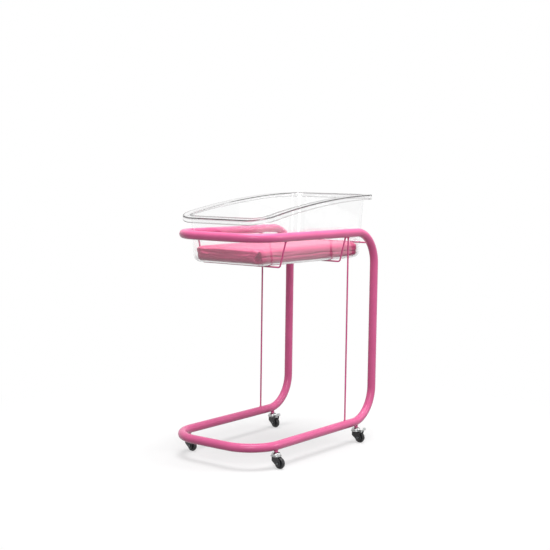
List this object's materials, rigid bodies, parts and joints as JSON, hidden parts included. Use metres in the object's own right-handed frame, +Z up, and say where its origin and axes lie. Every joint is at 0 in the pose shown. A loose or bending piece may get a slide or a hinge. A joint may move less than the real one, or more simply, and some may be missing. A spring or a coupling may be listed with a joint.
{
  "type": "hospital bassinet",
  "caption": "Hospital bassinet: clear lift-out tub with mattress on wire hangers in a C-shaped bent tube frame, open at the foot side, on swivel casters, two with pedal brakes.",
  "frame": {"origin": "on the floor, under the middle of the whole object", "axes": "+Z up, +X towards the head end with the uprights, +Y towards the far side"},
  "size_m": [0.7796, 0.4684, 0.956],
  "materials": {
    "powder_coat": "gloss powder coat",
    "bare_steel": "bare",
    "zinc_plate": "bright zinc plate",
    "clear_acrylic": "clear, polished",
    "coated_fabric": "wipe-clean coated cover",
    "black_rubber": "matte",
    "black_nylon": "moulded",
    "grey_nylon": "moulded"
  },
  "bodies": {
    "frame": {"top_rail": "powder_coat", "base_rail": "powder_coat", "near_upright": "powder_coat", "far_upright": "powder_coat", "near_top_spigot": "bare_steel", "near_base_spigot": "bare_steel", "far_top_spigot": "bare_steel", "far_base_spigot": "bare_steel", "near_tie_rod": "powder_coat", "far_tie_rod": "powder_coat", "head_cross_rod": "powder_coat", "foot_hanger": "powder_coat", "head_hanger": "powder_coat", "near_foot_caster_boss": "powder_coat", "near_foot_caster_stem": "zinc_plate", "near_foot_caster_bell": "zinc_plate", "near_head_caster_boss": "powder_coat", "near_head_caster_stem": "zinc_plate", "near_head_caster_bell": "zinc_plate", "far_foot_caster_boss": "powder_coat", "far_foot_caster_stem": "zinc_plate", "far_foot_caster_bell": "zinc_plate", "far_head_caster_boss": "powder_coat", "far_head_caster_stem": "zinc_plate", "far_head_caster_bell": "zinc_plate"},
    "tub": {"tub": "clear_acrylic"},
    "mattress": {"mattress": "coated_fabric"},
    "near_foot_swivel": {"near_foot_caster_crown": "zinc_plate", "near_foot_fork": "black_nylon", "near_foot_axle_bolt": "zinc_plate", "near_foot_axle_nut": "zinc_plate"},
    "near_head_swivel": {"near_head_caster_crown": "zinc_plate", "near_head_fork": "black_nylon", "near_head_axle_bolt": "zinc_plate", "near_head_axle_nut": "zinc_plate", "near_head_pedal_pin": "zinc_plate"},
    "far_foot_swivel": {"far_foot_caster_crown": "zinc_plate", "far_foot_fork": "black_nylon", "far_foot_axle_bolt": "zinc_plate", "far_foot_axle_nut": "zinc_plate"},
    "far_head_swivel": {"far_head_caster_crown": "zinc_plate", "far_head_fork": "black_nylon", "far_head_axle_bolt": "zinc_plate", "far_head_axle_nut": "zinc_plate", "far_head_pedal_pin": "zinc_plate"},
    "near_foot_wheel": {"near_foot_tyre": "black_rubber", "near_foot_hub": "grey_nylon"},
    "near_head_wheel": {"near_head_tyre": "black_rubber", "near_head_hub": "grey_nylon"},
    "far_foot_wheel": {"far_foot_tyre": "black_rubber", "far_foot_hub": "grey_nylon"},
    "far_head_wheel": {"far_head_tyre": "black_rubber", "far_head_hub": "grey_nylon"},
    "near_head_pedal": {"near_head_brake_pedal": "zinc_plate"},
    "far_head_pedal": {"far_head_brake_pedal": "zinc_plate"}
  },
  "joints": [
    {"name": "tub_lift", "type": "slide", "parent": "frame", "child": "tub", "axis": [0, 0, 1], "range_m": [0, 0.28]},
    {"name": "mattress_lift", "type": "slide", "parent": "tub", "child": "mattress", "axis": [0, 0, 1], "range_m": [0, 0.26]},
    {"name": "near_foot_swivel_turn", "type": "hinge", "parent": "frame", "child": "near_foot_swivel", "pos_m": [-0.25819, -0.19118, 0.0445], "axis": [0, 0, 1], "continuous": true},
    {"name": "near_head_swivel_turn", "type": "hinge", "parent": "frame", "child": "near_head_swivel", "pos_m": [0.25681, -0.19118, 0.0445], "axis": [0, 0, 1], "continuous": true},
    {"name": "far_foot_swivel_turn", "type": "hinge", "parent": "frame", "child": "far_foot_swivel", "pos_m": [-0.25819, 0.21482, 0.0445], "axis": [0, 0, 1], "continuous": true},
    {"name": "far_head_swivel_turn", "type": "hinge", "parent": "frame", "child": "far_head_swivel", "pos_m": [0.25681, 0.21482, 0.0445], "axis": [0, 0, 1], "continuous": true},
    {"name": "near_foot_wheel_spin", "type": "hinge", "parent": "near_foot_swivel", "child": "near_foot_wheel", "pos_m": [-0.2609, -0.21049, 0.021], "axis": [0.9903, -0.1392, 0], "continuous": true},
    {"name": "near_head_wheel_spin", "type": "hinge", "parent": "near_head_swivel", "child": "near_head_wheel", "pos_m": [0.25511, -0.2106, 0.021], "axis": [0.9962, -0.0872, 0], "continuous": true},
    {"name": "far_foot_wheel_spin", "type": "hinge", "parent": "far_foot_swivel", "child": "far_foot_wheel", "pos_m": [-0.26191, 0.19568, 0.021], "axis": [0.9816, -0.1908, 0], "continuous": true},
    {"name": "far_head_wheel_spin", "type": "hinge", "parent": "far_head_swivel", "child": "far_head_wheel", "pos_m": [0.25176, 0.19599, 0.021], "axis": [0.9659, -0.2588, 0], "continuous": true},
    {"name": "near_head_pedal_press", "type": "hinge", "parent": "near_head_swivel", "child": "near_head_pedal", "pos_m": [0.25449, -0.21774, 0.04599], "axis": [0.9962, -0.0872, 0], "range_deg": [0, 14]},
    {"name": "far_head_pedal_press", "type": "hinge", "parent": "far_head_swivel", "child": "far_head_pedal", "pos_m": [0.24991, 0.18907, 0.04599], "axis": [0.9659, -0.2588, 0], "range_deg": [0, 14]}
  ]
}
